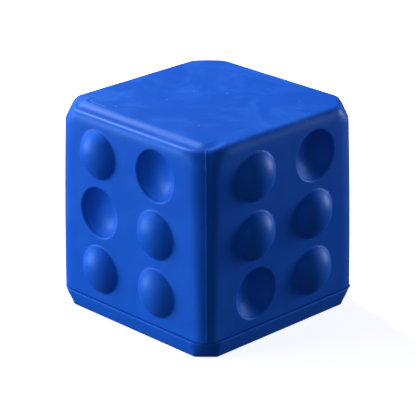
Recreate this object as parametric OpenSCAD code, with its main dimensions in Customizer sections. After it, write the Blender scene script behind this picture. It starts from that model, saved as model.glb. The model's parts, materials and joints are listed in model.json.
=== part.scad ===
// Cue chalk cube in a soft rubber case: a tray carries the paper-wrapped chalk, and a
// one-piece cover with push-through bubbles in its walls drops over the chalk onto the tray.
// Origin: centre of the tray's underside. +Z is up, and the front wall faces -Y.

/* [Case] */
// Outside width and depth of the case at the seam
case_w = 30; // [28:0.5:34]
// Outside height of the closed case
case_h = 29.8; // [28.5:0.1:32]
// Radius of the vertical corners
corner_r = 3.1; // [2.4:0.1:4]
// Radius of the rolled edge round the top
roll_r = 1.9; // [0.8:0.1:2.2]

/* [Tray] */
// Height of the seam between tray and cover
seam_z = 2.5; // [2.3:0.05:3]
// How far the tray's sides slope in from seam to underside
tray_slope = 0.63; // [0.2:0.01:1]
// How far the tray's lip stands proud of the cover
lip_out = 0.1; // [0.05:0.01:0.2]
// Height of the lip
lip_h = 0.5; // [0.3:0.05:0.8]
// Thickness of the tray's floor
floor_t = 2; // [1.4:0.1:2.1]
// Height of the rim that plugs into the cover, above the seam
plug_h = 1.2; // [0.6:0.1:1.2]
// Thickness of that rim
plug_t = 1.2; // [0.8:0.1:1.2]

/* [Chalk] */
// Width, depth and height of the chalk block
chalk_w = 22.2; // [21:0.1:22.2]
// Radius of the chalk's vertical corners
chalk_r = 0.8; // [0.4:0.1:1.2]
// Diameter of the cup in the chalk's top
cup_d = 16; // [12:0.5:19]
// Depth of the cup
cup_depth = 2.6; // [1:0.1:4]
// Thickness of the paper
paper_t = 0.1; // [0.08:0.01:0.12]
// Bare chalk left above the paper
bare_h = 1.6; // [0:0.1:4]

/* [Bubbles] */
// Radius of a bubble
bubble_r = 3.4; // [2.6:0.05:3.4]
// How far a bubble bulges out, or dishes in
bubble_h = 1.6; // [1:0.05:1.6]
// Thickness of a bubble's skin
bubble_t = 1; // [0.6:0.05:1]
// Depth of the rim round a bubble that bulges out
rim_t = 0.4; // [0.2:0.05:0.4]
// Distance between the two columns
column_pitch = 11.2; // [10:0.1:12]
// Distance between rows
row_pitch = 8.4; // [7.6:0.1:8.4]
// Height of the bottom row's centres
row_z = 7.5; // [7.4:0.05:8]

/* [Fits] */
// Gap between the chalk's paper and the cover's walls
chalk_gap = 0.4; // [0.4:0.05:0.5]
// Gap between the chalk's paper and the tray's rim
seat_gap = 0.15; // [0.1:0.05:0.2]
// Gap between the tray's rim and the cover
plug_gap = 0.1; // [0.05:0.01:0.15]
// Gap at the seam, and under the chalk
face_gap = 0.05; // [0.03:0.01:0.08]
// Radial gap round a bubble
bubble_gap = 0.05; // [0.03:0.01:0.08]

/* [Hidden] */
$fn = 96;
eps = 0.01;
half_w = case_w / 2;
corner_inset = half_w - corner_r;
cover_z = seam_z + face_gap;
roof_t = 3.2;
chalk_z = floor_t + face_gap + paper_t;
wrap_w = chalk_w + 2 * paper_t;
hollow_w = wrap_w + 2 * chalk_gap;
hollow_r = chalk_r + paper_t + chalk_gap;
seat_w = wrap_w + 2 * seat_gap;
seat_r = chalk_r + paper_t + seat_gap;
plug_w = seat_w + 2 * plug_t;
plug_r = seat_r + plug_t;
cup_sphere_r = (pow(cup_d / 2, 2) + pow(cup_depth, 2)) / (2 * cup_depth);
bubble_sphere_r = (pow(bubble_r, 2) + pow(bubble_h, 2)) / (2 * bubble_h);
bore_back = 4;
edge_ring = 0.2;

walls = ["front", "right", "back", "left"];
rows = ["bottom", "middle", "top"];
columns = ["left", "right"];
// True where a bubble bulges out: by wall, then by row from the bottom, then left and right
// as seen from outside that wall
bulges = [
    [[true, true], [false, true], [true, false]],
    [[false, true], [true, true], [true, false]],
    [[true, false], [true, true], [false, true]],
    [[true, true], [true, false], [false, true]]
];
function bubble_name(wall, row, column) =
    str(walls[wall], "_bubble_", rows[row], "_", columns[column]);

// A square block with round vertical corners.
module rounded_block(width, radius, height) {
    inset = width / 2 - radius;
    linear_extrude(height) {
        square([width, 2 * inset], center = true);
        square([2 * inset, width], center = true);
        for (x = [-inset, inset], y = [-inset, inset])
            translate([x, y])
                circle(radius);
    }
}

// Sweeps an edge section round a block with round corners. The section's x is measured
// outwards from the corner centres and its y is the height. The first child makes the
// corners, and the second, which reaches in to the middle, makes the sides.
module swept_block(inset) {
    for (turn = [0:3])
        rotate(turn * 90)
            translate([inset, inset, 0]) {
                rotate_extrude(angle = 90)
                    children(0);
                rotate([90, 0, 0])
                    linear_extrude(2 * inset)
                        children(1);
            }
}

// Edge section of the cover's outside: a straight wall with a rolled top.
module cover_section(inner) {
    difference() {
        translate([-inner, cover_z])
            square([inner + corner_r, case_h - cover_z]);
        translate([corner_r - roll_r, case_h - roll_r])
            difference() {
                square(roll_r + eps);
                circle(roll_r);
            }
    }
}

// Edge section of the tray: sloping side with a proud lip at the top.
module tray_section(inner) {
    polygon([
        [-inner, 0],
        [corner_r - tray_slope, 0],
        [corner_r, seam_z - lip_h - lip_out],
        [corner_r + lip_out, seam_z - lip_h],
        [corner_r + lip_out, seam_z - lip_out],
        [corner_r, seam_z],
        [-inner, seam_z]
    ]);
}

module base_tray() {
    color("mediumblue")
        difference() {
            union() {
                swept_block(corner_inset) {
                    tray_section(0);
                    tray_section(corner_inset);
                }
                rounded_block(plug_w, plug_r, seam_z + plug_h);
            }
            translate([0, 0, floor_t])
                rounded_block(seat_w, seat_r, seam_z + plug_h);
        }
}

module chalk_block() {
    color("royalblue")
        translate([0, 0, chalk_z])
            difference() {
                rounded_block(chalk_w, chalk_r, chalk_w);
                translate([0, 0, chalk_w - cup_depth + cup_sphere_r])
                    sphere(cup_sphere_r);
            }
}

module side_wrap() {
    wrap_h = chalk_w - bare_h;
    color("whitesmoke")
        translate([0, 0, chalk_z])
            difference() {
                rounded_block(wrap_w, chalk_r + paper_t, wrap_h);
                translate([0, 0, -eps])
                    rounded_block(chalk_w, chalk_r, wrap_h + 2 * eps);
            }
}

module base_label() {
    color("whitesmoke")
        translate([0, 0, chalk_z - paper_t])
            rounded_block(chalk_w, chalk_r, paper_t);
}

// Places a shape on a wall at a bubble's centre, with its +Z along the outward normal.
module at_bubble(wall, row, column) {
    rotate(wall * 90)
        translate([(column - 0.5) * column_pitch, -half_w, row_z + row * row_pitch])
            rotate([90, 0, 0])
                children();
}

module cover() {
    color("blue")
        difference() {
            swept_block(corner_inset) {
                cover_section(0);
                cover_section(corner_inset);
            }
            rounded_block(hollow_w, hollow_r, case_h - roof_t);
            rounded_block(
                plug_w + 2 * plug_gap,
                plug_r + plug_gap,
                seam_z + plug_h + plug_gap
            );
            for (wall = [0:3], row = [0:2], column = [0:1])
                at_bubble(wall, row, column)
                    translate([0, 0, -bore_back])
                        cylinder(r = bubble_r + bubble_gap, h = 2 * bore_back);
        }
}

// Half section of a bubble that bulges out: a domed skin on a shallow rim.
module bulge_section() {
    centre_z = bubble_h - bubble_sphere_r;
    difference() {
        union() {
            intersection() {
                translate([0, centre_z])
                    circle(bubble_sphere_r);
                square([bubble_r, bubble_h + eps]);
            }
            translate([0, -rim_t])
                square([bubble_r, rim_t + eps]);
        }
        translate([0, centre_z])
            circle(bubble_sphere_r - bubble_t);
    }
}

// Half section of a bubble that is pushed in: a dished skin with a flat rim.
module dish_section() {
    dish_r = bubble_r - edge_ring;
    sphere_r = (pow(dish_r, 2) + pow(bubble_h, 2)) / (2 * bubble_h);
    centre_z = sphere_r - bubble_h;
    difference() {
        intersection() {
            translate([0, -bubble_h - bubble_t])
                square([bubble_r, bubble_h + bubble_t]);
            translate([0, centre_z])
                circle(sphere_r + bubble_t);
        }
        translate([0, centre_z])
            circle(sphere_r);
    }
}

module bubble(wall, row, column) {
    out = bulges[wall][row][column];
    color("blue")
        at_bubble(wall, row, column)
            rotate_extrude()
                if (out)
                    bulge_section();
                else
                    dish_section();
}

base_tray();
chalk_block();
side_wrap();
base_label();
cover();
for (wall = [0:3], row = [0:2], column = [0:1])
    bubble(wall, row, column);
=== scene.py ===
import json
import math
from functools import partial
import bmesh
import bpy
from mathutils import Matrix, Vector, noise


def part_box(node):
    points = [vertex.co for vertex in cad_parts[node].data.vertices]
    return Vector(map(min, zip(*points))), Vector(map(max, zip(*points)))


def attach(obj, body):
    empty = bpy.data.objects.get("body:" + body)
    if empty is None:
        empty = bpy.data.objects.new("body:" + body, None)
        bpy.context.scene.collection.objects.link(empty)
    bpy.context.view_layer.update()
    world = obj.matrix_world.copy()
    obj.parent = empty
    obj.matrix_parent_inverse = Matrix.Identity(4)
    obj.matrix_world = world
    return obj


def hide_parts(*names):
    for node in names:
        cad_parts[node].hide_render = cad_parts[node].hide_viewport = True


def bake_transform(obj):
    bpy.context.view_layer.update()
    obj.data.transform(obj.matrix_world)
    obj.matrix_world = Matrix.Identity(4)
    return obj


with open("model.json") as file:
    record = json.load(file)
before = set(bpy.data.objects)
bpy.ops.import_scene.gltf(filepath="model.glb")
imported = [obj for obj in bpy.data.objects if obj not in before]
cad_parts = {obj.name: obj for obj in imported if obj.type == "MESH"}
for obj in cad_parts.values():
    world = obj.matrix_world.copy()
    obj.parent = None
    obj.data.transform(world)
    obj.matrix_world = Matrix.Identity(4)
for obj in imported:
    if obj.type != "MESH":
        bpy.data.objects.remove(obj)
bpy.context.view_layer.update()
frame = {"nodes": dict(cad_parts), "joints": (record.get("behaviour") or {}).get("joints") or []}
mm = 0.001
print("frame loaded:", len(frame["nodes"]), "nodes")

wallAxes = {  # outward normal, and the way to the right as seen from outside
    "front": (Vector((0, -1, 0)), Vector((1, 0, 0))),
    "right": (Vector((1, 0, 0)), Vector((0, 1, 0))),
    "back": (Vector((0, 1, 0)), Vector((-1, 0, 0))),
    "left": (Vector((-1, 0, 0)), Vector((0, -1, 0))),
}
frontCorner = (("front", True), ("right", False))  # the two walls' ends that meet there
noiseSlices = {"flash": 3.0, "rollLine": 5.0, "paperEdge": 4.0}  # each wavy line reads its own


def mix(a, b, t):
    return a + (b - a) * t


def smooth(low, high, value):
    t = min(1.0, max(0.0, (value - low) / (high - low)))
    return t * t * (3 - 2 * t)


def bell(distance, width):
    return math.exp(-(distance / width) ** 2)


def boxInMm(node):
    low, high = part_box(node)
    return low / mm, high / mm


def sideReach(half, radius):  # from a wall's middle, along the ring, to the middle of a corner
    return half - radius + radius * math.pi / 4


def ringPoint(wall, half, radius, s, z, out=0.0, chamfer=0.0, tight=1.0):
    # The point at distance s from a wall's middle, on a square ring with round corners.
    # chamfer flattens the corner's arc towards its chord, and out moves the point outwards.
    # tight shrinks the radius of the front right corner alone.
    normal, side = wallAxes[wall]
    flat, distance = half - radius, abs(s)
    if tight < 1 and distance > flat and (wall, s > 0) in frontCorner:
        reach = sideReach(half, radius) - flat
        radius *= tight
        distance = flat + (distance - flat) * (sideReach(half, radius) - flat) / reach
        flat = half - radius
    turn = max(0.0, (distance - flat) / radius)
    sine, cosine = math.sin(turn), math.cos(turn)
    pull = chamfer * radius * (sine + cosine - 1) / 2
    across = min(distance, flat) + radius * sine - pull
    away = flat + radius * cosine - pull
    along = side * math.copysign(1, s)
    point = along * (across + out * sine) + normal * (away + out * cosine)
    return Vector((point.x, point.y, z))


def ringOf(half, radius, z, fractions, chamfer=0.0, lift=None, tight=1.0):
    # A whole ring; lift(wall, fraction) gives (outwards, upwards) moves of each point.
    row = []
    for wall in wallAxes:
        for f in fractions[:-1]:
            out, up = lift(wall, f) if lift else (0.0, 0.0)
            s = f * sideReach(half, radius)
            row.append(ringPoint(wall, half, radius, s, z + up, out, chamfer, tight))
    return row


def evenFractions(sideSteps, cornerSteps, half, radius):
    flat = (half - radius) / sideReach(half, radius)
    corner = [flat + (1 - flat) * k / cornerSteps for k in range(1, cornerSteps + 1)]
    sides = [mix(-flat, flat, k / sideSteps) for k in range(sideSteps + 1)]
    return [-f for f in reversed(corner)] + sides + corner


def addGrid(build, rows, closed=True):
    points, faces = build
    start, width = len(points), len(rows[0])
    for row in rows:
        points.extend(row)
    for r in range(len(rows) - 1):
        for c in range(width if closed else width - 1):
            a, b = start + r * width + c, start + r * width + (c + 1) % width
            faces.append((a, b, b + width, a + width))


def addFan(build, ring, centre):
    points, faces = build
    start = len(points)
    points.extend(ring)
    points.append(centre)
    for k in range(len(ring)):
        faces.append((start + k, start + (k + 1) % len(ring), start + len(ring)))


def meshFrom(name, build, sharpDegrees=40, weld=0.002):
    points, faces = build
    mesh = bpy.data.meshes.new(name)
    mesh.from_pydata([p * mm for p in points], [], faces)
    work = bmesh.new()
    work.from_mesh(mesh)
    bmesh.ops.remove_doubles(work, verts=work.verts, dist=weld * mm)
    bmesh.ops.delete(work, geom=[v for v in work.verts if not v.link_faces], context="VERTS")
    bmesh.ops.recalc_face_normals(work, faces=work.faces)
    work.to_mesh(mesh)
    work.free()
    mesh.shade_smooth()
    mesh.set_sharp_from_angle(angle=math.radians(sharpDegrees))
    piece = bpy.data.objects.new(name, mesh)
    bpy.context.scene.collection.objects.link(piece)
    return piece


def dress(piece, material):
    piece.data.materials.clear()
    piece.data.materials.append(material)
    return piece


def newGroup(name, inputs, outputs):
    group = bpy.data.node_groups.new(name, "ShaderNodeTree")
    for socketName, kind, value in inputs:
        socket = group.interface.new_socket(socketName, in_out="INPUT", socket_type=kind)
        socket.default_value = value
    for socketName, kind in outputs:
        group.interface.new_socket(socketName, in_out="OUTPUT", socket_type=kind)
    return group, group.nodes.new("NodeGroupInput"), group.nodes.new("NodeGroupOutput")


def addNode(tree, kind, links=None, **settings):
    # links holds values or outputs for the sockets; settings are the node's own properties.
    made = tree.nodes.new(kind)
    for key, value in settings.items():
        setattr(made, key, value)
    for socket, source in (links or {}).items():
        if hasattr(source, "links"):
            tree.links.new(source, made.inputs[socket])
        else:
            made.inputs[socket].default_value = source
    return made


def noiseAt(tree, coords, scale, detail=2.0, roughness=0.5, distortion=0.0):
    return addNode(tree, "ShaderNodeTexNoise", {
        "Vector": coords, "Scale": scale, "Detail": detail,
        "Roughness": roughness, "Distortion": distortion,
    }).outputs["Fac"]


def calc(tree, operation, a, b=0.0, clamp=False):
    return addNode(tree, "ShaderNodeMath", {0: a, 1: b}, operation=operation, use_clamp=clamp).outputs[0]


def remap(tree, value, low, high, toLow=0.0, toHigh=1.0):
    return addNode(tree, "ShaderNodeMapRange", {
        "Value": value, "From Min": low, "From Max": high, "To Min": toLow, "To Max": toHigh,
    }, interpolation_type="SMOOTHSTEP").outputs["Result"]


def blendColour(tree, factor, a, b, mode="MIX"):
    made = addNode(tree, "ShaderNodeMix", {0: factor}, data_type="RGBA", blend_type=mode)
    for index, source in ((6, a), (7, b)):
        if hasattr(source, "links"):
            tree.links.new(source, made.inputs[index])
        else:
            made.inputs[index].default_value = source
    return made.outputs[2]


def objectCoords(tree):
    return tree.nodes.new("ShaderNodeTexCoord").outputs["Object"]


skinDetail = {
    # noise detail, roughness and distortion, after the scale where that isn't a socket
    "cloud": (4.0, 0.55, 0.4), "wiped": (95.0, 5.0, 0.62, 1.6),
    "pores": (2.0, 0.6), "ripple": (420.0, 2.0, 0.5),
    "upward": (0.2, 1.0), "patches": (0.42, 0.72),  # from where to where each mask rises
    "bloomAllOver": 0.35, "bloomOnTop": 0.65,
    "speckScale": 750.0, "speckRarity": 0.6, "speckSize": 0.11, "speckColor": (0.2, 0.4, 0.9, 1),
    "patchRoughness": 0.09, "poreRoughness": 0.1,
    "poreHeight": 0.25, "rippleHeight": 0.75,
}


def makeMouldedSkin():
    # Soft rubber from a mould: cloudy tone, a faint bloom on what faces up, wiped patches, pores, dust.
    group, given, result = newGroup("mouldedSkin", [
        ("Base Color", "NodeSocketColor", (0.01, 0.1, 0.6, 1)),
        ("Bloom Color", "NodeSocketColor", (0.1, 0.3, 0.9, 1)),
        ("Cloud Scale", "NodeSocketFloat", 260.0),
        ("Cloud Amount", "NodeSocketFloat", 0.12),
        ("Bloom Amount", "NodeSocketFloat", 0.2),
        ("Gloss", "NodeSocketFloat", 0.45),
        ("Pore Scale", "NodeSocketFloat", 5200.0),
        ("Speck Amount", "NodeSocketFloat", 0.3),
    ], [("Color", "NodeSocketColor"), ("Roughness", "NodeSocketFloat"), ("Height", "NodeSocketFloat")])
    coords = objectCoords(group)
    cloud = noiseAt(group, coords, given.outputs["Cloud Scale"], *skinDetail["cloud"])
    wiped = noiseAt(group, coords, *skinDetail["wiped"])
    pores = noiseAt(group, coords, given.outputs["Pore Scale"], *skinDetail["pores"])
    ripple = noiseAt(group, coords, *skinDetail["ripple"])
    normal = group.nodes.new("ShaderNodeNewGeometry").outputs["Normal"]
    facing = addNode(group, "ShaderNodeSeparateXYZ", {0: normal}).outputs["Z"]
    upward = remap(group, facing, *skinDetail["upward"])

    # cloudy tone
    shade = calc(group, "MULTIPLY", calc(group, "SUBTRACT", cloud, 0.5), given.outputs["Cloud Amount"])
    toned = addNode(group, "ShaderNodeHueSaturation", {
        "Color": given.outputs["Base Color"], "Value": calc(group, "ADD", shade, 1.0)}).outputs["Color"]

    # bloom in wiped patches, most of it on top
    patches = remap(group, wiped, *skinDetail["patches"])
    allOver = calc(group, "MULTIPLY", patches, skinDetail["bloomAllOver"])
    onTop = calc(group, "MULTIPLY", calc(group, "MULTIPLY", patches, upward), skinDetail["bloomOnTop"])
    spread = calc(group, "ADD", allOver, onTop)
    bloom = calc(group, "MULTIPLY", given.outputs["Bloom Amount"], spread, clamp=True)
    hazy = blendColour(group, bloom, toned, given.outputs["Bloom Color"])

    # a few specks of dust on what faces up
    specks = addNode(group, "ShaderNodeTexVoronoi", {"Vector": coords, "Scale": skinDetail["speckScale"]})
    chance = addNode(group, "ShaderNodeSeparateColor", {0: specks.outputs["Color"]}).outputs["Red"]
    speckSize = remap(group, chance, skinDetail["speckRarity"], 1.0, 0.0, skinDetail["speckSize"])
    speck = calc(group, "LESS_THAN", specks.outputs["Distance"], speckSize)
    speck = calc(group, "MULTIPLY", speck, calc(group, "MULTIPLY", upward, given.outputs["Speck Amount"]))
    dusted = blendColour(group, speck, hazy, skinDetail["speckColor"])
    group.links.new(dusted, result.inputs["Color"])

    duller = calc(group, "MULTIPLY", patches, skinDetail["patchRoughness"])
    pitted = calc(group, "MULTIPLY", calc(group, "SUBTRACT", pores, 0.5), skinDetail["poreRoughness"])
    rough = calc(group, "ADD", given.outputs["Gloss"], calc(group, "ADD", duller, pitted))
    group.links.new(rough, result.inputs["Roughness"])
    poreHeight = calc(group, "MULTIPLY", pores, skinDetail["poreHeight"])
    rippleHeight = calc(group, "MULTIPLY", ripple, skinDetail["rippleHeight"])
    group.links.new(calc(group, "ADD", poreHeight, rippleHeight), result.inputs["Height"])
    return group


powderDetail = {
    "grain": (3.0, 0.7), "crumbs": (4.0, 0.65),  # noise detail and roughness
    "drift": (160.0, 4.0, 0.6, 0.8),             # scale, detail, roughness and distortion
    "driftRise": (0.35, 0.7), "driftTone": 0.7, "grainTone": 0.8,
    "grainHeight": 0.4, "crumbHeight": 0.6,
    "driftDust": 0.7, "grainDust": 0.3, "dustRise": (0.45, 0.72),
}


def makeDryPowder():
    # Chalk dust and pressed powder: fine grain, coarser crumbs and pale rubbed places.
    group, given, result = newGroup("dryPowder", [
        ("Color A", "NodeSocketColor", (0.08, 0.28, 0.6, 1)),
        ("Color B", "NodeSocketColor", (0.2, 0.45, 0.75, 1)),
        ("Grain Scale", "NodeSocketFloat", 3800.0),
        ("Crumb Scale", "NodeSocketFloat", 900.0),
    ], [("Color", "NodeSocketColor"), ("Height", "NodeSocketFloat"), ("Dust", "NodeSocketFloat")])
    coords = objectCoords(group)
    grain = noiseAt(group, coords, given.outputs["Grain Scale"], *powderDetail["grain"])
    crumbs = noiseAt(group, coords, given.outputs["Crumb Scale"], *powderDetail["crumbs"])
    drift = noiseAt(group, coords, *powderDetail["drift"])

    rubbed = remap(group, drift, *powderDetail["driftRise"])
    rubbed = calc(group, "MULTIPLY", rubbed, powderDetail["driftTone"])
    speckled = calc(group, "MULTIPLY", calc(group, "SUBTRACT", grain, 0.5), powderDetail["grainTone"])
    tone = calc(group, "ADD", rubbed, speckled, clamp=True)
    colour = blendColour(group, tone, given.outputs["Color A"], given.outputs["Color B"])
    group.links.new(colour, result.inputs["Color"])

    grainHeight = calc(group, "MULTIPLY", grain, powderDetail["grainHeight"])
    crumbHeight = calc(group, "MULTIPLY", crumbs, powderDetail["crumbHeight"])
    group.links.new(calc(group, "ADD", grainHeight, crumbHeight), result.inputs["Height"])

    driftDust = calc(group, "MULTIPLY", drift, powderDetail["driftDust"])
    grainDust = calc(group, "MULTIPLY", grain, powderDetail["grainDust"])
    dust = remap(group, calc(group, "ADD", driftDust, grainDust), *powderDetail["dustRise"])
    group.links.new(dust, result.inputs["Dust"])
    return group


mouldedSkin = makeMouldedSkin()
dryPowder = makeDryPowder()


def newMaterial(name, roughness=0.5, specular=0.5):
    material = bpy.data.materials.new(name)
    material.use_nodes = True
    shader = material.node_tree.nodes["Principled BSDF"]
    shader.inputs["Roughness"].default_value = roughness
    shader.inputs["Specular IOR Level"].default_value = specular
    return material, material.node_tree, shader


def addBump(tree, shader, height, strength, distance):
    bump = addNode(tree, "ShaderNodeBump", {"Strength": strength, "Distance": distance, "Height": height})
    tree.links.new(bump.outputs["Normal"], shader.inputs["Normal"])


def rubberMaterial(name, look):
    material, tree, shader = newMaterial(name, specular=look["specular"])
    skin = addNode(tree, "ShaderNodeGroup", node_tree=mouldedSkin)
    for socket in skin.inputs.keys():
        skin.inputs[socket].default_value = look[socket]
    tree.links.new(skin.outputs["Color"], shader.inputs["Base Color"])
    tree.links.new(skin.outputs["Roughness"], shader.inputs["Roughness"])
    addBump(tree, shader, skin.outputs["Height"], look["bump"], look["bumpDepth"])
    shader.inputs["Specular Tint"].default_value = look["glint"]
    return material


caseLook = {
    "Base Color": (0.0075, 0.096, 0.62, 1), "Bloom Color": (0.03, 0.2, 0.9, 1),
    "Cloud Scale": 240.0, "Cloud Amount": 0.18, "Bloom Amount": 0.3,
    "Gloss": 0.43, "Pore Scale": 5200.0, "Speck Amount": 0.55,
    "specular": 0.13, "glint": (0.12, 0.72, 1.0, 1), "bump": 0.3, "bumpDepth": 0.00004,
}
# The tray's base colour is a little lighter than the case's. This is painted light: it makes up for the
# shade the tray gets low under the cover.
trayLook = dict(caseLook, **{
    "Base Color": (0.008, 0.105, 0.66, 1), "Cloud Scale": 340.0, "Gloss": 0.46, "Bloom Amount": 0.1,
})
caseRubber = rubberMaterial("caseRubber", caseLook)
trayRubber = rubberMaterial("trayRubber", trayLook)
print("rubber made")


bubbleShape = {
    "radius": 3.4,
    "bulgeHeight": 1.8,
    "bulgeFoot": 0.1,        # height of the small fillet round a bulge
    "footWidth": 0.3,
    "dishDepth": 1.5,
    "dishPower": 2.7,
    "dishStep": 0.34,        # drop of the rounded lip round a dish
    "lipWidth": 0.42,
    "lipMargin": 0.04,       # flat wall beyond the lip, before the cell fans out
    "lipRings": 10,
    "lipSpacing": 1.6,       # above 1 the rings crowd towards the bubble
    "creaseDeep": 0.03,      # fold where a dished skin leaves its lip
    "creaseWide": 0.12,
    "skin": 0.2,
    "popReach": 1.15,        # a little past the middle, so that a popped skin has no dimple there
    "rings": 22,
}
cell = {  # the piece of wall round one bubble, its steps, and how far out its last rings lie
    "halfWide": 5.6, "halfTall": 4.2, "across": 32, "up": 24, "fanOut": (0.3, 0.65, 1.0),
}
jointOf = {j["child"]: j for j in frame["joints"]}


def cellEdge():
    # Points round a cell's edge from its lower left corner, anticlockwise, relative to its middle.
    w, h = cell["halfWide"], cell["halfTall"]
    corners = [(-w, -h), (w, -h), (w, h), (-w, h)]
    steps = [cell["across"], cell["up"], cell["across"], cell["up"]]
    edge = []
    for k in range(4):
        (x0, y0), (x1, y1) = corners[k], corners[(k + 1) % 4]
        edge += [(mix(x0, x1, i / steps[k]), mix(y0, y1, i / steps[k])) for i in range(steps[k])]
    return edge


edgePoints = cellEdge()
edgeAngles = [math.atan2(y, x) for x, y in edgePoints]


def findBubbles():
    found = []
    for name in sorted(frame["nodes"]):
        wall = name.split("_")[0]
        if "_bubble_" not in name:
            continue
        low, high = boxInMm(name)
        middle = (low + high) / 2
        found.append({
            "name": name, "wall": wall, "s": middle.dot(wallAxes[wall][1]), "z": middle.z,
            "bulges": jointOf[name]["range_m"][0] < 0,
        })
    return found


bubbles = findBubbles()


def rimHeight(bulges):
    return bubbleShape["bulgeFoot"] if bulges else -bubbleShape["dishStep"] - bubbleShape["creaseDeep"]


def wallHeightNear(bulges, r):  # of the wall round a bubble, at radius r from its middle
    if bulges:
        t = (r - bubbleShape["radius"]) / bubbleShape["footWidth"]
        return bubbleShape["bulgeFoot"] * max(0.0, 1 - t) ** 2
    t = min(1.0, (r - bubbleShape["radius"]) / bubbleShape["lipWidth"])
    return -bubbleShape["dishStep"] * (1 - t) ** 2 - creaseAt(r)


def creaseAt(r):
    return bubbleShape["creaseDeep"] * bell(r - bubbleShape["radius"], bubbleShape["creaseWide"])


def skinHeight(bulges, r):
    if bulges:
        h, a = bubbleShape["bulgeHeight"] - bubbleShape["bulgeFoot"], bubbleShape["radius"]
        sphere = (a * a + h * h) / (2 * h)
        return rimHeight(True) + math.sqrt(sphere * sphere - r * r) - (sphere - h)
    bowl = bubbleShape["dishDepth"] * (1 - (r / bubbleShape["radius"]) ** bubbleShape["dishPower"])
    return -bubbleShape["dishStep"] - bowl - creaseAt(r)


coverLow, coverHigh = boxInMm("cover")
coverShape = {
    "cornerLow": 3.1, "cornerHigh": 4.7,     # corner radius at the seam and under the roll
    "lean": 0.07, "bulge": 0.07,             # how the walls stand off the seam's width
    "rollIn": 1.45, "rollUp": 2.4, "rollPower": 2.5,  # a squarer bend than a circle's, which is 2
    "cutIn": 1.68, "cutUp": 2.5, "cutPower": 1.2,  # the roll is nearly a straight cut at the corners
    "bottomBevel": 0.1, "seamGap": 0.14,     # the dark line between the cover and the tray
    "flashHigh": 0.11, "flashWide": 0.1, "flashShift": 0.15,  # mould line on two opposite corners
    "flashMean": 0.8, "flashSway": 0.35, "flashWave": 0.45,   # its height wanders up the corner
    "cellLow": min(b["z"] for b in bubbles) - cell["halfTall"],
    "cellRows": 3,
    "frontTight": 0.68,                      # the front right corner's radius, as a share of the others'
    "cornerColumns": 12,
    "boreRings": (1.2, 0.9, 0.65),           # depths; at the first the skin hands over to the hollow
    "bevelTurns": (0, 22, 45, 67, 90), "footRings": 4, "rollRings": 24,
}
plugRecess = {"half": 12.7, "radius": 2.6}   # the widened mouth that takes the tray's rim
coverHalf = coverHigh.x
wallTop = coverHigh.z - coverShape["rollUp"]
cellTop = coverShape["cellLow"] + coverShape["cellRows"] * 2 * cell["halfTall"]


def caseAt(z):
    t = min(1.0, (z - coverLow.z) / (wallTop - coverLow.z))
    half = coverHalf + coverShape["lean"] * t + coverShape["bulge"] * math.sin(math.pi * t)
    radius = mix(coverShape["cornerLow"], coverShape["cornerHigh"], t)
    if z > wallTop:
        power = coverShape["rollPower"]
        rise = (z - wallTop) / coverShape["rollUp"]
        inset = coverShape["rollIn"] * (1 - (1 - rise ** power) ** (1 / power))
        half, radius = half - inset, radius - inset
    return half, radius


def flashAt(wall, s, full, z):
    before = wall in ("front", "back")
    if (s > 0) != before:
        return 0.0
    gap = full - abs(s) + coverShape["flashShift"] * (1 if before else -1)
    wave = noise.noise(Vector((z * coverShape["flashWave"], noiseSlices["flash"], 0.0)))
    uneven = coverShape["flashMean"] + coverShape["flashSway"] * wave
    return coverShape["flashHigh"] * uneven * bell(gap, coverShape["flashWide"])


def cornerCut(s, half, radius, z):
    # How much further in than the roll the surface lies near the middle of a corner.
    t = (z - coverHigh.z) / coverShape["cutUp"] + 1
    if t <= 0:
        return 0.0
    power = coverShape["cutPower"]
    straight = coverShape["cutIn"] * (1 - (1 - min(1.0, t) ** power) ** (1 / power))
    rolled = coverHalf + coverShape["lean"] - half if z > wallTop else 0.0
    cornered = smooth(0.0, 1.0, (abs(s) - half + radius) / (radius * math.pi / 4))
    return max(0.0, straight - rolled) * cornered


def casePoint(wall, s, z, out=0.0):
    half, radius = caseAt(z)
    flash = flashAt(wall, s, sideReach(half, radius), z)
    move = out + flash - cornerCut(s, half, radius, z)
    return ringPoint(wall, half, radius, s, z, move, tight=coverShape["frontTight"])


def cornerDistances(full):  # distances along a wall from its cells' edge to the corner's middle
    start, count = 2 * cell["halfWide"], coverShape["cornerColumns"]
    return [full - (full - start) * (k / count) ** 2 for k in range(count, -1, -1)]


def columnFractions(z):
    full = sideReach(*caseAt(z))
    corner = [s / full for s in cornerDistances(full)]
    wide, count = 2 * cell["halfWide"] / full, 2 * cell["across"]
    middle = [mix(-wide, wide, k / count) for k in range(1, count)]
    return [-f for f in reversed(corner)] + middle + corner


def addBubbleCell(build, bubble):
    wall, s0, z0, bulges = bubble["wall"], bubble["s"], bubble["z"], bubble["bulges"]
    rim = bubbleShape["radius"]

    def circle(r, out):
        return [casePoint(wall, s0 + r * math.cos(a), z0 + r * math.sin(a), out) for a in edgeAngles]

    rows = [circle(rim, -depth) for depth in coverShape["boreRings"]]
    widest, rings = bubbleShape["lipWidth"] + bubbleShape["lipMargin"], bubbleShape["lipRings"]
    for k in range(rings + 1):
        r = rim + widest * (k / rings) ** bubbleShape["lipSpacing"]
        rows.append(circle(r, wallHeightNear(bulges, r)))
    last = rim + widest
    for f in cell["fanOut"]:
        rows.append([
            casePoint(wall, s0 + mix(last * math.cos(a), x, f), z0 + mix(last * math.sin(a), y, f))
            for a, (x, y) in zip(edgeAngles, edgePoints)
        ])
    addGrid(build, rows)


def addCornerStrips(build):
    levels = coverShape["cellRows"] * cell["up"]
    for wall in wallAxes:
        for way in (-1, 1):
            rows = []
            for k in range(levels + 1):
                z = mix(coverShape["cellLow"], cellTop, k / levels)
                full = sideReach(*caseAt(z))
                rows.append([casePoint(wall, way * s, z) for s in cornerDistances(full)])
            addGrid(build, rows, closed=False)


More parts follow.
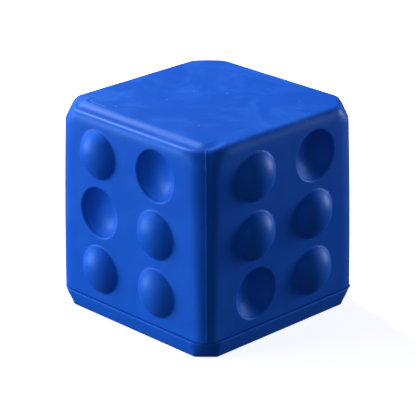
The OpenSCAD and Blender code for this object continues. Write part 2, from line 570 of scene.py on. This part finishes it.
def addSeamEdge(build):
    # From the mouth round the bevel at the seam, and up to the lowest cells.
    bevel, foot = coverShape["bottomBevel"], coverShape["footRings"]
    low = columnFractions(coverShape["cellLow"])
    rows = [ringOf(plugRecess["half"], plugRecess["radius"], coverLow.z, low)]
    bottom = coverLow.z + coverShape["seamGap"]
    for turn in coverShape["bevelTurns"]:
        a = math.radians(turn)
        z = bottom + bevel * (1 - math.cos(a))
        half, radius = caseAt(z)
        inset = bevel * (1 - math.sin(a))
        rows.append(ringOf(half - inset, radius - inset, z, low, tight=coverShape["frontTight"]))
    for k in range(1, foot + 1):
        z = mix(bottom + bevel, coverShape["cellLow"], k / foot)
        full = sideReach(*caseAt(z))
        rows.append([casePoint(w, f * full, z) for w in wallAxes for f in low[:-1]])
    addGrid(build, rows)


roofShape = {
    "lines": [(11.62, -0.06, 0.1), (11.95, 0.02, 0.16)],  # where, how tall, how wide
    "bandFrom": 11.9, "bandTo": 13.7, "bandDrop": 0.38, "bandPower": 4,  # the sunken edge along the front
    "rollLineAt": 14.0, "rollLineDeep": 0.05, "rollLineWide": 0.09, "rollLineStray": 0.15,
    "raggedMean": 0.7, "raggedSway": 0.6, "raggedWave": 14,
    "flashFade": (0.9, 1.5),                 # turns of the roll, in radians, over which the mould line dies
    "cutFade": 0.9,
    "fineStep": 0.075, "fineRings": 35, "coarseRings": 12,
    "leastRadius": 1.0, "radiusLoss": 1.5, "roundest": 0.6,  # how the rings' corners shrink inwards
    # along each wall: strength before and after a stretch, and where the stretch starts and ends
    "lineStrength": {"front": (1.0, 0.2, -0.95, -0.2), "right": (0.15, 0.04, -1.0, -0.5),
                     "back": (0.04, 0.04, -1.0, 1.0), "left": (0.04, 1.0, 0.8, 1.0)},
    "bandStrength": {"front": (1.0, 1.0, -1.0, 1.0), "right": (1.0, 0.06, -1.0, -0.75),
                     "back": (0.06, 0.06, -1.0, 1.0), "left": (0.06, 1.0, 0.75, 1.0)},
}


def strengthAt(kind, wall, f):
    before, after, start, end = roofShape[kind][wall]
    return mix(before, after, smooth(start, end, f))


def rollLift(wall, f, half, radius, a, rise):
    # The moves of a point of the roll: mould line, corner cut, the ragged line and the sunken edge.
    reach = sideReach(half, radius)
    out = flashAt(wall, f * reach, reach, cellTop) * (1 - smooth(*roofShape["flashFade"], a))
    out -= cornerCut(f * reach, half, radius, wallTop + coverShape["rollUp"] * rise)
    wave = noise.noise(Vector((f * roofShape["raggedWave"], len(wall), noiseSlices["rollLine"])))
    ragged = roofShape["raggedMean"] + roofShape["raggedSway"] * wave
    line = roofShape["rollLineDeep"] * ragged * strengthAt("lineStrength", wall, f)
    aside = half - roofShape["rollLineAt"] + roofShape["rollLineStray"] * ragged
    line *= bell(aside, roofShape["rollLineWide"])
    sunk = roofShape["bandDrop"] * strengthAt("bandStrength", wall, f) * rise ** roofShape["bandPower"]
    return out - line * math.cos(a), -sunk - line * math.sin(a)


def roofLift(wall, f, half, radius, panelHalf):
    out = -cornerCut(f * sideReach(half, radius), panelHalf, radius, coverHigh.z)
    out *= 1 - smooth(0.0, roofShape["cutFade"], panelHalf - half)
    edge = smooth(roofShape["bandFrom"], roofShape["bandTo"], half)
    up = -roofShape["bandDrop"] * strengthAt("bandStrength", wall, f) * edge
    for at, tall, wide in roofShape["lines"]:
        up += tall * strengthAt("lineStrength", wall, f) * bell(half - at, wide)
    return out, up


def addRoof(build):
    # The roll over the walls' top edges, and the roof inside it.
    high = columnFractions(cellTop)
    topHalf, topRadius = coverHalf + coverShape["lean"], coverShape["cornerHigh"]
    power, rings, tight = coverShape["rollPower"], coverShape["rollRings"], coverShape["frontTight"]
    start = math.asin(((cellTop - wallTop) / coverShape["rollUp"]) ** (power / 2))
    full = sideReach(*caseAt(cellTop))
    rows = [[casePoint(w, f * full, cellTop) for w in wallAxes for f in high[:-1]]]
    for k in range(1, rings + 1):
        a = mix(start, math.pi / 2, k / rings)
        inset = coverShape["rollIn"] * (1 - max(0.0, math.cos(a)) ** (2 / power))
        half, radius, rise = topHalf - inset, topRadius - inset, math.sin(a) ** (2 / power)
        lift = partial(rollLift, half=half, radius=radius, a=a, rise=rise)
        rows.append(ringOf(half, radius, wallTop + coverShape["rollUp"] * rise, high, 0.0, lift, tight))

    panelHalf, panelRadius = topHalf - coverShape["rollIn"], topRadius - coverShape["rollIn"]
    fine, coarse = roofShape["fineRings"], roofShape["coarseRings"]
    halves = [panelHalf - roofShape["fineStep"] * k for k in range(1, fine + 1)]
    halves += [halves[-1] * (1 - k / coarse) for k in range(1, coarse)]
    for half in halves:
        radius = max(roofShape["leastRadius"], panelRadius - roofShape["radiusLoss"] * (panelHalf - half))
        radius = min(radius, half * roofShape["roundest"])
        lift = partial(roofLift, half=half, radius=radius, panelHalf=panelHalf)
        rows.append(ringOf(half, radius, coverHigh.z, high, 0.0, lift, tight))
    addGrid(build, rows)
    addFan(build, rows[-1], Vector((0, 0, coverHigh.z)))


hollowShape = {
    # half-width, corner radius and height of each step up the hollow
    "steps": [(plugRecess["half"], plugRecess["radius"], 2.55),
              (plugRecess["half"], plugRecess["radius"], 3.8),
              (11.6, 1.3, 3.8), (11.6, 1.3, 26.0), (11.45, 1.2, 26.35), (11.1, 1.0, 26.6), (6.0, 1.0, 26.6)],
    "boreInner": 4.4,   # how deep the bores reach, past the hollow's wall
    "capBand": 0.3,     # faces this near a bore's outer end are its cap
    "mouthBand": 0.01,  # and this near the mouth's height, the mouth's
}


def hollowMesh():
    # The hollow with the bubbles' bores, joined by a boolean, and opened at each bore's outer end.
    low = columnFractions(coverShape["cellLow"])
    body = ([], [])
    rows = [ringOf(half, radius, z, low) for half, radius, z in hollowShape["steps"]]
    addGrid(body, rows)
    addFan(body, rows[0], Vector((0, 0, rows[0][0].z)))
    addFan(body, rows[-1], Vector((0, 0, rows[-1][0].z)))
    bores = ([], [])
    for bubble in bubbles:
        normal, side = wallAxes[bubble["wall"]]
        r = bubbleShape["radius"]
        back = normal * (coverHalf - hollowShape["boreInner"])
        outer, inner = [], []
        for a in edgeAngles:
            s, z = bubble["s"] + r * math.cos(a), bubble["z"] + r * math.sin(a)
            outer.append(casePoint(bubble["wall"], s, z, -coverShape["boreRings"][0]))
            inner.append(back + side * s + Vector((0, 0, z)))
        addGrid(bores, [outer, inner])
        addFan(bores, outer, sum(outer, Vector()) / len(outer))
        addFan(bores, inner, sum(inner, Vector()) / len(inner))
    bodyPiece = meshFrom("hollowBody", body)
    borePiece = meshFrom("hollowBores", bores)
    union = bodyPiece.modifiers.new("join", "BOOLEAN")
    union.operation, union.solver, union.object = "UNION", "EXACT", borePiece
    joined = bpy.data.meshes.new_from_object(bodyPiece.evaluated_get(bpy.context.evaluated_depsgraph_get()))
    bpy.data.objects.remove(bodyPiece)
    bpy.data.objects.remove(borePiece)
    return joined


def makeCover():
    build = ([], [])
    for bubble in bubbles:
        addBubbleCell(build, bubble)
    addCornerStrips(build)
    addSeamEdge(build)
    addRoof(build)
    hollow = hollowMesh()
    outerEnd = coverHalf - coverShape["boreRings"][0] - hollowShape["capBand"]
    points, faces = build
    offset = len(points)
    points.extend(v.co / mm for v in hollow.vertices)
    for face in hollow.polygons:
        middle = face.center / mm
        capsBore = max(abs(middle.x), abs(middle.y)) > outerEnd
        capsMouth = middle.z < coverLow.z + hollowShape["mouthBand"]
        if not capsBore and not capsMouth:
            faces.append(tuple(offset + v for v in face.vertices))
    return meshFrom("softCover", build, sharpDegrees=38)


cover = makeCover()
dress(cover, caseRubber)
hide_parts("cover")
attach(cover, "cover")
print("cover made:", len(cover.data.vertices), "points")


def makeBubble(bubble):
    wall, s0, z0, bulges = bubble["wall"], bubble["s"], bubble["z"], bubble["bulges"]
    rim, skin = bubbleShape["radius"], bubbleShape["skin"]
    radii = [rim * math.cos(math.pi / 2 * k / bubbleShape["rings"]) for k in range(bubbleShape["rings"])]

    def surfacePoint(r, a, drop):
        return casePoint(wall, s0 + r * math.cos(a), z0 + r * math.sin(a), skinHeight(bulges, r) - drop)

    def surface(drop):
        return [[surfacePoint(r, a, drop) for a in edgeAngles] for r in radii]

    build = ([], [])
    outside, inside = surface(0.0), surface(skin)
    addGrid(build, outside)
    addFan(build, outside[-1], surfacePoint(0.0, 0.0, 0.0))
    addGrid(build, inside)
    addFan(build, inside[-1], surfacePoint(0.0, 0.0, skin))
    addGrid(build, [outside[0], inside[0]])
    piece = meshFrom("skin_" + bubble["name"], build, sharpDegrees=60)
    dress(piece, caseRubber)
    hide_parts(bubble["name"])
    start = casePoint(wall, s0, z0, rimHeight(bulges)) * mm
    middle = casePoint(wall, s0, z0, skinHeight(bulges, 0.0)) * mm
    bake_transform(piece)
    return piece


for bubble in bubbles:
    makeBubble(bubble)
print("bubbles made:", len(bubbles))


trayShape = {
    # half-width, corner radius, height and how flat the corner is cut: the underside's panel and foot,
    # then the sloping side up to the lip
    "outside": [(6.0, 1.2, 0.16, 1.0), (12.2, 1.6, 0.16, 1.0), (12.35, 1.7, 0.13, 1.0),
                (12.5, 1.75, 0.0, 1.0), (14.14, 2.2, 0.0, 1.0), (14.3, 2.22, 0.05, 0.97),
                (14.38, 2.25, 0.16, 0.92), (14.58, 2.4, 0.75, 0.55), (14.78, 2.6, 1.35, 0.34),
                (14.94, 2.8, 1.85, 0.22), (14.99, 2.9, 2.02, 0.17), (15.04, 3.0, 2.2, 0.13),
                (15.06, 3.1, 2.34, 0.08), (15.05, 3.1, 2.42, 0.04), (15.02, 3.1, 2.47, 0.0),
                (14.96, 3.0, 2.5, 0.0), (14.5, 2.8, 2.5, 0.0)],
    # the rim that plugs into the cover, over its top and down to the tray's floor
    "inside": [(12.62, 2.55, 2.5, 0.0), (12.55, 2.5, 2.56, 0.0), (12.55, 2.5, 3.55, 0.0),
               (12.4, 2.35, 3.7, 0.0), (11.5, 1.2, 3.7, 0.0), (11.38, 1.08, 3.58, 0.0),
               (11.35, 1.05, 2.2, 0.0), (11.15, 0.9, 2.0, 0.0)],
    "floorRing": (5.0, 1.0, 2.0),            # half-width, corner radius and height
    "sideSteps": 40, "cornerSteps": 12,
    "frontTight": 0.97,
    # the tag of flash at the right corner, on rings wider than "beyond"
    "nub": {"high": 0.32, "wide": 0.28, "z": 2.3, "tall": 0.2, "beyond": 14},
}


def nubLift(wall, f, half, radius, z):
    nub = trayShape["nub"]
    if wall != "right" or f < 0 or half < nub["beyond"]:
        return 0.0, 0.0
    away = (1 - f) * sideReach(half, radius)
    return nub["high"] * bell(away, nub["wide"]) * bell(z - nub["z"], nub["tall"]), 0.0


def makeTray():
    sideSteps, cornerSteps = trayShape["sideSteps"], trayShape["cornerSteps"]
    fractions = evenFractions(sideSteps, cornerSteps, coverHalf, coverShape["cornerLow"])
    rows = []
    for half, radius, z, flatness in trayShape["outside"] + trayShape["inside"]:
        lift = partial(nubLift, half=half, radius=radius, z=z)
        rows.append(ringOf(half, radius, z, fractions, flatness, lift, trayShape["frontTight"]))
    rows.append(ringOf(*trayShape["floorRing"], fractions))
    build = ([], [])
    addGrid(build, rows)
    addFan(build, rows[0], Vector((0, 0, rows[0][0].z)))
    addFan(build, rows[-1], Vector((0, 0, rows[-1][0].z)))
    return meshFrom("softTray", build, sharpDegrees=34)


tray = makeTray()
dress(tray, trayRubber)
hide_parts("base_tray")
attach(tray, "base")
print("tray made")


chalkLow, chalkHigh = boxInMm("chalk_block")
wrapLow, wrapHigh = boxInMm("side_wrap")
labelLow, labelHigh = boxInMm("base_label")
powderLooks = {
    "pressedChalk": {
        "Color A": (0.05, 0.23, 0.56, 1), "Color B": (0.16, 0.42, 0.78, 1),
        "Grain Scale": 3800.0, "Crumb Scale": 900.0,
        "roughness": 0.95, "specular": 0.15, "bump": 0.8, "bumpDepth": 0.00025,
    },
    "labelPaper": {
        "Color A": (0.5, 0.485, 0.445, 1), "Color B": (0.57, 0.56, 0.53, 1),
        "Grain Scale": 2600.0, "Crumb Scale": 900.0,
        "roughness": 0.85, "specular": 0.25, "bump": 0.3, "bumpDepth": 0.00008,
        "dustColor": (0.16, 0.38, 0.7, 1), "dustTall": 5.0, "dustElsewhere": 0.12,
    },
}


def powderMaterial(name):
    look = powderLooks[name]
    material, tree, shader = newMaterial(name, look["roughness"], look["specular"])
    powder = addNode(tree, "ShaderNodeGroup", node_tree=dryPowder)
    for socket in powder.inputs.keys():
        powder.inputs[socket].default_value = look[socket]
    colour = powder.outputs["Color"]
    if "dustColor" in look:  # chalk dust rubbed into the paper, most of it near the top
        height = addNode(tree, "ShaderNodeSeparateXYZ", {0: objectCoords(tree)}).outputs["Z"]
        nearTop = remap(tree, height, (wrapHigh.z - look["dustTall"]) * mm, wrapHigh.z * mm)
        nearTop = calc(tree, "ADD", nearTop, look["dustElsewhere"])
        dust = calc(tree, "MULTIPLY", powder.outputs["Dust"], nearTop, clamp=True)
        colour = blendColour(tree, dust, colour, look["dustColor"])
    tree.links.new(colour, shader.inputs["Base Color"])
    addBump(tree, shader, powder.outputs["Height"], look["bump"], look["bumpDepth"])
    return material


def roughen(piece, amount, scale, seed, where=None):
    # Moves each point along its normal by noise, and further where the given function says.
    offset = Vector((seed, seed * 0.7, seed * 1.3))
    normals = [v.normal.copy() for v in piece.data.vertices]
    for v, normal in zip(piece.data.vertices, normals):
        p = v.co / mm
        wave = noise.fractal(p * scale + offset, 0.7, 2.1, 4)
        v.co += normal * (amount * wave * (where(p) if where else 1.0)) * mm


chalkShape = {
    "corner": 0.8, "edge": 0.3, "cupRadius": 8.0, "cupDepth": 2.6,
    "rimDrop": 0.12,                         # how far the worn top sinks towards the cup
    "sideSteps": 36, "cornerSteps": 8,
    "wallRings": 30, "edgeTurns": (25, 50, 75, 90), "rimRings": 8, "cupRings": 22,
    "underRing": (4.0, 0.6),                 # half-width and corner radius under the block
    "crumble": 0.07, "crumbleScale": 1.1, "crumbleSeed": 11.0, "bareShare": 0.35,
    "chips": 0.16, "chipsWide": 0.9, "chipsFrom": 1.2, "chipsTo": 0.1,  # along the top edges
}


def makeChalk():
    half, corner, edge, top = chalkHigh.x, chalkShape["corner"], chalkShape["edge"], chalkHigh.z
    fractions = evenFractions(chalkShape["sideSteps"], chalkShape["cornerSteps"], half, corner)
    underHalf, underCorner = chalkShape["underRing"]
    rows = [ringOf(underHalf, underCorner, chalkLow.z, fractions)]
    rows.append(ringOf(half - edge, corner, chalkLow.z, fractions))
    walls = chalkShape["wallRings"]
    for k in range(walls + 1):
        rows.append(ringOf(half, corner, mix(chalkLow.z + edge, top - edge, k / walls), fractions))
    for turn in chalkShape["edgeTurns"]:
        a = math.radians(turn)
        inset = edge * (1 - math.cos(a))
        rows.append(ringOf(half - inset, corner, top - edge * (1 - math.sin(a)), fractions))
    cup, depth, rimDrop = chalkShape["cupRadius"], chalkShape["cupDepth"], chalkShape["rimDrop"]
    for k in range(1, chalkShape["rimRings"] + 1):
        t = k / chalkShape["rimRings"]
        z = top - rimDrop * smooth(0.6, 1.0, t)
        rows.append(ringOf(mix(half - edge, cup, t), mix(corner, cup, t), z, fractions))
    sphere = (cup * cup + depth * depth) / (2 * depth)
    for k in range(1, chalkShape["cupRings"]):
        r = cup * (1 - k / chalkShape["cupRings"])
        drop = math.sqrt(sphere * sphere - r * r) - (sphere - depth)
        rows.append(ringOf(r, r, top - rimDrop - drop + rimDrop * r / cup, fractions))
    build = ([], [])
    addGrid(build, rows)
    addFan(build, rows[0], Vector((0, 0, chalkLow.z)))
    addFan(build, rows[-1], Vector((0, 0, top - rimDrop - depth)))
    piece = meshFrom("chalkBlock", build, sharpDegrees=50)

    def wear(p):  # none behind the paper, a little on the bare top, most at its edges
        outward = max(abs(p.x), abs(p.y))
        worn = smooth(half - chalkShape["chipsWide"], half, outward)
        worn *= smooth(top - chalkShape["chipsFrom"], top - chalkShape["chipsTo"], p.z)
        covered = p.z < wrapHigh.z and outward > cup
        bare = 0.0 if covered else chalkShape["bareShare"]
        return bare + worn * chalkShape["chips"] / chalkShape["crumble"]

    roughen(piece, chalkShape["crumble"], chalkShape["crumbleScale"], chalkShape["crumbleSeed"], wear)
    return piece


paperShape = {
    "thick": 0.1, "lap": 0.06, "lapAt": 0.25, "lapSoft": 0.015,
    "ragged": 0.05, "raggedWave": 9, "wallStep": 2.3,
    "sideSteps": 48, "cornerSteps": 8, "outerRings": 12, "innerRings": 4,
    "labelSteps": (24, 6), "labelRings": 6,
}


def lapLift(wall, f):  # the paper's loose end laps over its start on the back
    at = paperShape["lapAt"]
    over = paperShape["lap"] * smooth(at, at + paperShape["lapSoft"], f)
    return (over if wall == "back" else 0.0), 0.0


def raggedLift(wall, f):
    out, up = lapLift(wall, f)
    row = len(wall) * paperShape["wallStep"]
    wave = noise.noise(Vector((f * paperShape["raggedWave"], row, noiseSlices["paperEdge"])))
    return out, up + paperShape["ragged"] * wave


def makeWrap():
    half, thick = wrapHigh.x, paperShape["thick"]
    corner = chalkShape["corner"] + thick
    fractions = evenFractions(paperShape["sideSteps"], paperShape["cornerSteps"], half, corner)
    rows = []
    outer, inner = paperShape["outerRings"], paperShape["innerRings"]
    for k in range(outer + 1):
        z = mix(wrapLow.z, wrapHigh.z, k / outer)
        rows.append(ringOf(half, corner, z, fractions, lift=lapLift if k < outer else raggedLift))
    for k in range(inner + 1):
        rows.append(ringOf(half - thick, corner - thick, mix(wrapHigh.z, wrapLow.z, k / inner), fractions))
    build = ([], [])
    addGrid(build, rows + [rows[0]])
    return meshFrom("paperWrap", build, sharpDegrees=50)


def makeLabel():
    half, corner, rings = labelHigh.x, chalkShape["corner"], paperShape["labelRings"]
    fractions = evenFractions(*paperShape["labelSteps"], half, corner)
    low, high = labelLow.z, labelHigh.z
    rows = [ringOf(half * k / rings, corner * k / rings, low, fractions) for k in range(1, rings + 1)]
    rows += [ringOf(half * k / rings, corner * k / rings, high, fractions) for k in range(rings, 0, -1)]
    build = ([], [])
    addGrid(build, rows)
    addFan(build, rows[0], Vector((0, 0, low)))
    addFan(build, rows[-1], Vector((0, 0, high)))
    return meshFrom("paperBase", build, sharpDegrees=50)


chalk = makeChalk()
dress(chalk, powderMaterial("pressedChalk"))
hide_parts("chalk_block")
labelPaper = powderMaterial("labelPaper")
wrap = dress(makeWrap(), labelPaper)
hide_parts("side_wrap")
label = dress(makeLabel(), labelPaper)
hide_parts("base_label")
for piece in (chalk, wrap, label):
    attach(piece, "chalk")
print("chalk and paper made")


stageLook = {
    "floorSize": 3.0, "floorColor": (0.9, 0.91, 0.92, 1), "floorGlow": 0.85,
    "floorAt": -0.02, "floorSteps": 8, "floorDim": 0.985, "floorMottle": 30.0,
    "skySeen": 0.95, "skyShed": 0.05, "skyColor": (0.92, 0.96, 1.0, 1),
}
lamps = {  # azimuth and elevation like the camera's, distance, size, watts
    "keyLamp": (302, 10, 0.42, 0.2, 1.35),
    "frontLamp": (326, 6, 0.42, 0.3, 1.25),
    "overheadLamp": (262, 46, 0.42, 0.12, 1.9),
    "rimLamp": (161, 8, 0.42, 0.18, 1.15),
    "fillLamp": (58, 14, 0.42, 0.24, 0.17),
}
cameraView = {
    "azimuth": 45.78, "elevation": 21.84, "roll": -0.2,
    "distance": 315.5, "lens": 196.5, "aimDown": 0.92, "aimSide": 0.09,
}


def wayTo(azimuth, elevation):
    a, e = math.radians(azimuth), math.radians(elevation)
    return Vector((math.sin(a) * math.cos(e), -math.cos(a) * math.cos(e), math.sin(e)))


def makeFloor():
    # Pale and nearly shadowless: it glows a little, and it throws no light on the object.
    material, tree, shader = newMaterial("paleFloor", roughness=0.9, specular=0.0)
    mottle = noiseAt(tree, objectCoords(tree), stageLook["floorMottle"])
    white = stageLook["floorColor"]
    dim = tuple(c * stageLook["floorDim"] for c in white[:3]) + (1,)
    tree.links.new(blendColour(tree, mottle, white, dim), shader.inputs["Base Color"])
    shader.inputs["Emission Color"].default_value = white
    shader.inputs["Emission Strength"].default_value = stageLook["floorGlow"]
    size = stageLook["floorSize"] / mm / 2
    count = stageLook["floorSteps"]
    steps = [mix(-size, size, k / count) for k in range(count + 1)]
    build = ([], [])
    addGrid(build, [[Vector((x, y, stageLook["floorAt"])) for x in steps] for y in steps], closed=False)
    floor = meshFrom("paleFloor", build)
    floor.data.materials.append(material)
    floor.visible_diffuse = floor.visible_glossy = False


def makeLamps(target):
    for name, (azimuth, elevation, distance, size, watts) in lamps.items():
        data = bpy.data.lights.new(name, "AREA")
        data.shape, data.size, data.energy = "DISK", size, watts
        lamp = bpy.data.objects.new(name, data)
        bpy.context.scene.collection.objects.link(lamp)
        way = wayTo(azimuth, elevation)
        lamp.location = target + way * distance
        lamp.rotation_euler = (-way).to_track_quat("-Z", "Y").to_euler()
        lamp.visible_camera = False


def makeWorld():
    # Seen directly the room is pale, and it sheds only a little light of its own.
    bpy.context.scene.view_settings.view_transform = "Standard"  # keeps the blue as saturated as it is
    world = bpy.data.worlds.new("paleRoom")
    bpy.context.scene.world = world
    world.use_nodes = True
    tree = world.node_tree
    sky = tree.nodes["Background"]
    sky.inputs["Color"].default_value = stageLook["skyColor"]
    seen = tree.nodes.new("ShaderNodeLightPath").outputs["Is Camera Ray"]
    strength = remap(tree, seen, 0.0, 1.0, stageLook["skyShed"], stageLook["skySeen"])
    tree.links.new(strength, sky.inputs["Strength"])


def makeCamera():
    back = wayTo(cameraView["azimuth"], cameraView["elevation"])
    across = wayTo(cameraView["azimuth"] + 90, 0)
    aim = Vector((0, 0, coverHigh.z / 2 - cameraView["aimDown"])) + across * cameraView["aimSide"]
    data = bpy.data.cameras.new("camera")
    data.lens, data.clip_start, data.clip_end = cameraView["lens"], 0.01, 20
    camera = bpy.data.objects.new("camera", data)
    bpy.context.scene.collection.objects.link(camera)
    camera.location = (aim + back * cameraView["distance"]) * mm
    camera.rotation_euler = (-back).to_track_quat("-Z", "Y").to_euler()
    camera.rotation_euler.rotate_axis("Z", math.radians(cameraView["roll"]))
    bpy.context.scene.camera = camera


makeFloor()
makeLamps(Vector((0, 0, coverHigh.z / 2)) * mm)
makeWorld()
makeCamera()
print("stage made")
